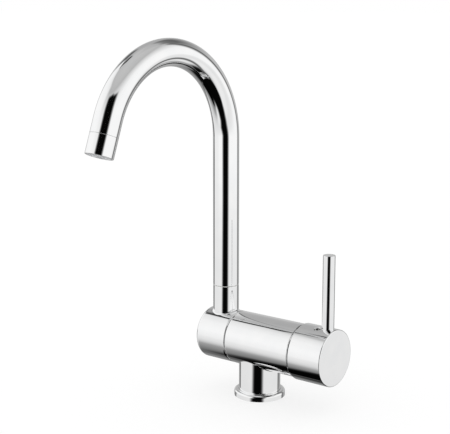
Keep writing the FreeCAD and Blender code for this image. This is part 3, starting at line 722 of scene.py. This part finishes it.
# %% [markdown]
# The branch comes down to the fillet, whose rings follow a ball that rolls between both
# cylinders. The last ring lies on the lying cylinder. A bridge with the same number of
# points closes the window, and the points on it are pushed out onto the true cylinder.

# %% Branch helpers
fillet_steps = 8


def fillet_path(angle, radius, branch_radius, blend, side):
    """The places that one point of a branch ring passes along the fillet."""
    reach = branch_radius + blend
    centre = Vector((reach * math.cos(angle), reach * math.sin(angle), 0.0))
    centre.z = side * math.sqrt((radius + blend) ** 2 - centre.y ** 2)
    to_branch = Vector((-math.cos(angle), -math.sin(angle), 0.0))
    to_body = Vector((0.0, -centre.y, -centre.z)).normalized()
    return [centre + blend * to_branch.slerp(to_body, step / fillet_steps)
            for step in range(fillet_steps + 1)]


def branched_cylinder(radius, stations, branch_x, branch_radius, blend, side, tip,
                      window, half_turn, count):
    """A lying cylinder about the X axis with an upright branch, open at its three ends."""
    form = bmesh.new()
    number = form.verts.layers.int.new("number")
    lying_cylinder(form, radius, stations)
    hole = cut_window(form, side, window, half_turn)
    verts = bmesh.ops.create_circle(form, cap_ends=False, segments=count,
                                    radius=branch_radius)["verts"]
    edges = edges_of(verts)
    paths = []
    for place, vert in enumerate(verts):
        vert[number] = place
        angle = math.atan2(vert.co.y, vert.co.x)
        paths.append(fillet_path(angle, radius, branch_radius, blend, side))
    bmesh.ops.translate(form, verts=verts, vec=(branch_x, 0.0, tip))
    for step in range(fillet_steps + 1):
        verts, edges = extrude_ring(form, edges)
        for vert in verts:
            vert.co = paths[vert[number]][step] + Vector((branch_x, 0.0, 0.0))
    skin = bmesh.ops.bridge_loops(form, edges=hole + edges)
    rings = set(hole + edges)
    spokes = [edge for edge in edges_of(skin["faces"]) if edge not in rings]
    cut = bmesh.ops.subdivide_edges(form, edges=spokes, cuts=5, use_grid_fill=True)
    for vert in {item for item in cut["geom_split"] + cut["geom_inner"]
                 if isinstance(item, bmesh.types.BMVert)}:
        share = radius / math.hypot(vert.co.y, vert.co.z)
        vert.co.y *= share
        vert.co.z *= share
    form.verts.layers.int.remove(number)
    return form


print("branch helpers ready")

# %% [markdown]
# ## Drilling
# The castings are hollow: the cartridge, the axle and the swivel spigot sit in their
# bores. Each casting is closed first, and the bores are then cut by exact Booleans, which
# only touch its flat ends and its inside, so the polished skin stays clean.

# %% Drill helpers


def rod(radius, start, end, axis="X", place=(0.0, 0.0), segments=96):
    """A closed rod along X, at (y, z) off the axis, or along Z, at (x, y)."""
    form = bmesh.new()
    bmesh.ops.create_cone(form, cap_ends=True, cap_tris=False, segments=segments,
                          radius1=radius, radius2=radius, depth=end - start)
    middle = (start + end) / 2.0
    if axis == "X":
        bmesh.ops.rotate(form, verts=form.verts, cent=(0, 0, 0),
                         matrix=Matrix.Rotation(math.radians(90.0), 3, "Y"))
        bmesh.ops.translate(form, verts=form.verts, vec=(middle, place[0], place[1]))
    else:
        bmesh.ops.translate(form, verts=form.verts, vec=(place[0], place[1], middle))
    return form


def temporary_object(form):
    """An object that is needed for one Boolean only."""
    mesh = bpy.data.meshes.new("temporary")
    bmesh.ops.recalc_face_normals(form, faces=form.faces)
    form.to_mesh(mesh)
    form.free()
    thing = bpy.data.objects.new("temporary", mesh)
    scene.collection.objects.link(thing)
    return thing


def drilled(form, drills):
    """The form with every drill cut out of it."""
    whole = temporary_object(form)
    cutters = [temporary_object(drill) for drill in drills]
    for cutter in cutters:
        bore = whole.modifiers.new("bore", "BOOLEAN")
        bore.operation = "DIFFERENCE"
        bore.solver = "EXACT"
        bore.object = cutter
    bpy.context.view_layer.update()
    depsgraph = bpy.context.evaluated_depsgraph_get()
    mesh = bpy.data.meshes.new_from_object(whole.evaluated_get(depsgraph))
    result = bmesh.new()
    result.from_mesh(mesh)
    bpy.data.meshes.remove(mesh)
    for thing in [whole] + cutters:
        mesh = thing.data
        bpy.data.objects.remove(thing)
        bpy.data.meshes.remove(mesh)
    return result


print("drill helpers ready")

# %% [markdown]
# ## Body and column
# The body's right end steps down to a short neck. The handle's rim stands beside that
# neck, and the gap between them is the dark line that the photograph shows there.

# %% Body and column
rows = 32
window = (-19.5 * MM, 19.5 * MM)
column_blend = 1.0 * MM
body_seam_round, shoulder_round = 0.8 * MM, 0.2 * MM
stations = [body_left] + [window[0] + (window[1] - window[0]) * row / rows
                          for row in range(rows + 1)] + [body_shoulder]
casting = branched_cylinder(body_radius, stations, 0.0, column_radius, column_blend, -1,
                            -body_height, window, 60.0, 192)
verts, ring = extrude_ring(casting, open_ring(casting, 0, body_shoulder))
share = body_neck_radius / body_radius
bmesh.ops.scale(casting, verts=verts, vec=(1.0, share, share))
verts, ring = extrude_ring(casting, ring)
bmesh.ops.translate(casting, verts=verts, vec=(body_right - body_shoulder, 0.0, 0.0))
for axis, place in ((0, body_left), (0, body_right), (2, -body_height)):
    bmesh.ops.edgeloop_fill(casting, edges=open_ring(casting, axis, place))
round_edges(casting, lying_ring_test(body_left, body_radius), body_seam_round, 3)
round_edges(casting, lying_ring_test(body_shoulder, body_radius), shoulder_round, 2)
bmesh.ops.recalc_face_normals(casting, faces=casting.faces)
print("closed skin:", all(edge.is_manifold for edge in casting.edges))

# %% [markdown]
# Each bore of the body is one rod: the cartridge's room with its wider mouth, the axle's
# hole, the plug's room in the column, the stop pin's hole and three waterways that lead up
# from the ports. The body still lies on the X axis, so all heights count from its middle.

# %% Bores of the body
port = 9.0 * MM / math.sqrt(2.0)
pin_place = 17.8 * MM / math.sqrt(2.0)
cartridge_room = rod(17.6 * MM, -16.0 * MM, body_right + past, segments=128)
cartridge_mouth = rod(19.25 * MM, 39.8 * MM, body_right + past, segments=128)
axle_hole = rod(axle_bore, body_left - past, -15.0 * MM)
plug_room = rod(15.5 * MM, -body_height - past, 25.5 * MM - body_height, axis="Z",
                segments=128)
pin_hole = rod(1.55 * MM, body_left - past, -16.8 * MM, place=(pin_place, pin_place),
               segments=32)
waterways = [rod(4.05 * MM, -30.0 * MM, 0.0, axis="Z", place=place, segments=48)
             for place in ((port, -port), (port, port), (-port, -port))]
casting = drilled(casting, [cartridge_room, cartridge_mouth, axle_hole, plug_room,
                            pin_hole] + waterways)
bmesh.ops.translate(casting, verts=casting.verts, vec=(0.0, 0.0, body_height))
report(finish_piece(casting, "body_shell", "mixer_body"))

# %% [markdown]
# ## Fold block
# The block at the body's left end folds forward with the spout. Its free end is rounded
# widely, and the edges at the seam and at the neck's top are small rounds that catch a
# thin dark line.

# %% Fold block skin
rows = 20
window = (-49.1 * MM, -23.5 * MM)
neck_blend = 1.4 * MM
end_round, block_seam_round = 3.5 * MM, 0.9 * MM
stations = [block_left] + [window[0] + (window[1] - window[0]) * row / rows
                           for row in range(rows + 1)] + [block_right]
block = branched_cylinder(body_radius, stations, spout_x, neck_radius, neck_blend, 1,
                          neck_top - body_height, window, 41.25, 128)
for axis, place in ((0, block_left), (0, block_right), (2, neck_top - body_height)):
    bmesh.ops.edgeloop_fill(block, edges=open_ring(block, axis, place))
round_edges(block, lying_ring_test(block_left, body_radius), end_round, 10)
round_edges(block, lying_ring_test(block_right, body_radius), block_seam_round, 3)
bmesh.ops.translate(block, verts=block.verts, vec=(-spout_x, 0.0, 0.0))
round_edges(block, ring_test(neck_top - body_height, neck_radius), small_round, 2)
bmesh.ops.translate(block, verts=block.verts, vec=(spout_x, 0.0, 0.0))
bmesh.ops.recalc_face_normals(block, faces=block.faces)
print("closed skin:", all(edge.is_manifold for edge in block.edges))

# %% [markdown]
# Five bores of the block lie around the axle and three stand in the neck, for the spout's
# spigot. The stop pin runs in a slot around the axle: a small flat face starts at the
# pin's place and is spun through the fold's 90 degrees, with some play at both ends.

# %% Bores of the fold block
upright = (spout_x, 0.0)
cap_seat = -49.7 * MM
end_cap_seat = rod(16.05 * MM, block_left - past, cap_seat, segments=128)
nut_room = rod(12.8 * MM, -50.0 * MM, -43.95 * MM)
axle_hole = rod(axle_bore, -45.0 * MM, block_right + past)
water_ring = rod(9.6 * MM, -39.7 * MM, -33.3 * MM)
washer_seat = rod(14.3 * MM, -22.2 * MM, block_right + past)
spigot_room = rod(8.8 * MM, 59.3 * MM - body_height, neck_top + past, axis="Z", place=upright)
neck_waterway = rod(6.0 * MM, 0.0, 60.0 * MM - body_height, axis="Z", place=upright)
snap_groove = rod(9.65 * MM, 63.75 * MM - body_height, 65.25 * MM - body_height, axis="Z",
                  place=upright)
stop_slot = bmesh.new()
slot_end, slot_start, slot_inner, slot_outer = -23.7 * MM, -20.0 * MM, 16.0 * MM, 19.6 * MM
corners = [stop_slot.verts.new((x, 0.0, radius)) for x, radius in (
    (slot_end, slot_inner), (slot_start, slot_inner),
    (slot_start, slot_outer), (slot_end, slot_outer))]
start_face = stop_slot.faces.new(corners)
pin_turn, fold_turn, pin_play = -45.0, -90.0, 5.9
bmesh.ops.rotate(stop_slot, verts=stop_slot.verts, cent=(0, 0, 0),
                 matrix=Matrix.Rotation(math.radians(pin_turn + pin_play), 3, "X"))
geometry = list(stop_slot.verts) + list(stop_slot.edges) + [start_face]
bmesh.ops.spin(stop_slot, geom=geometry, cent=(0, 0, 0), axis=(1, 0, 0), dvec=(0, 0, 0),
               angle=math.radians(fold_turn - 2.0 * pin_play), steps=40, use_merge=False,
               use_duplicate=False)
block = drilled(block, [end_cap_seat, nut_room, axle_hole, water_ring, washer_seat,
                        spigot_room, neck_waterway, snap_groove, stop_slot])
bmesh.ops.translate(block, verts=block.verts, vec=(0.0, 0.0, body_height))
report(finish_piece(block, "fold_block", "folding_block"))

# %% [markdown]
# A flat cap closes the block's free end over the axle's nut. It is a short rod with a very
# small round on its outer edge.

# %% Block end cap
cap_radius, cap_round = 16.0 * MM, 0.2 * MM
cap = rod(cap_radius, block_left, cap_seat, segments=128)
round_edges(cap, lying_ring_test(block_left, cap_radius), cap_round, 2)
bmesh.ops.translate(cap, verts=cap.verts, vec=(0.0, 0.0, body_height))
report(finish_piece(cap, "block_end_cap", "folding_block"))

# %% [markdown]
# ## Handle
# The hub is a turned cup that hides the cartridge. The lever is a plain pin that stands
# in a hole in it, and a grub screw beside the lever clamps the hub to the cartridge's
# stem. The holes cut through the polished skin, so this piece gets its normals from the
# true cylinder: the mirror stays straight around the holes.

# %% Handle hub
hub_left, hub_right = 45.0 * MM, 75.5 * MM
hub_radius, hub_edge = 23.5 * MM, 0.9 * MM
lever_x, grub_x = 68.0 * MM, 60.7 * MM
grub_lean = math.radians(79.0 - 90.0)
grub_radius = 2.55 * MM


def leaned(form):
    """Lean an upright drill to the grub screw's direction and put it in its place."""
    bmesh.ops.rotate(form, verts=form.verts, cent=(0, 0, 0),
                     matrix=Matrix.Rotation(-grub_lean, 3, "X"))
    bmesh.ops.translate(form, verts=form.verts, vec=(grub_x, 0.0, 0.0))
    return form


def hub_normal(place, face_way):
    """The direction of the ideal hub's surface at a corner of a face."""
    outward = Vector((0.0, place.y, place.z - body_height))
    radius = outward.length
    outward.normalize()
    core = Vector((hub_right - hub_edge, 0.0, body_height)) + outward * (hub_radius - hub_edge)
    if face_way.dot(outward) > 0.999 and radius > hub_radius - 0.01 * MM:
        return outward
    if place.x > hub_right - hub_edge - 1e-6 and radius > hub_radius - hub_edge - 1e-6 \
            and face_way.x < 0.9999 and face_way.dot(outward) > 0.01:
        return (place - core).normalized()
    return face_way


hub = rod(hub_radius, hub_left, hub_right, segments=256)
round_edges(hub, lying_ring_test(hub_right, hub_radius), hub_edge, 6)
mouth = bmesh.new()
bmesh.ops.create_cone(mouth, cap_ends=True, cap_tris=False, segments=64,
                      radius1=grub_radius, radius2=3.85 * MM, depth=1.3 * MM)
bmesh.ops.translate(mouth, verts=mouth.verts, vec=(0.0, 0.0, hub_radius))
stem_socket = bmesh.new()
bmesh.ops.create_cube(stem_socket, size=1.0)
bmesh.ops.scale(stem_socket, verts=stem_socket.verts, vec=(10.25 * MM, 8.1 * MM, 8.1 * MM))
bmesh.ops.translate(stem_socket, verts=stem_socket.verts, vec=(60.925 * MM, 0.0, 0.0))
cup = rod(22.6 * MM, hub_left - past, 56.0 * MM, segments=256)
lever_hole = rod(5.05 * MM, 15.0 * MM, 30.0 * MM, axis="Z", place=(lever_x, 0.0))
grub_hole = leaned(rod(grub_radius, 0.0, 30.0 * MM, axis="Z", segments=64))
hub = drilled(hub, [cup, stem_socket, lever_hole, grub_hole, leaned(mouth)])
bmesh.ops.translate(hub, verts=hub.verts, vec=(0.0, 0.0, body_height))
report(finish_piece(hub, "handle_hub", "handle", true_normal=hub_normal))

# %% [markdown]
# The lever is a plain chromed pin with a small round at its tip. Its foot stands in the
# hub's hole.

# %% Lever pin
lever_radius, lever_foot, lever_tip = 5.0 * MM, 61.5 * MM, 130.5 * MM
lever = rod(lever_radius, lever_foot, lever_tip, axis="Z", segments=96)
round_edges(lever, ring_test(lever_tip, lever_radius), small_round, 3)
bmesh.ops.translate(lever, verts=lever.verts, vec=(lever_x, 0.0, 0.0))
report(finish_piece(lever, "lever_pin", "handle"))
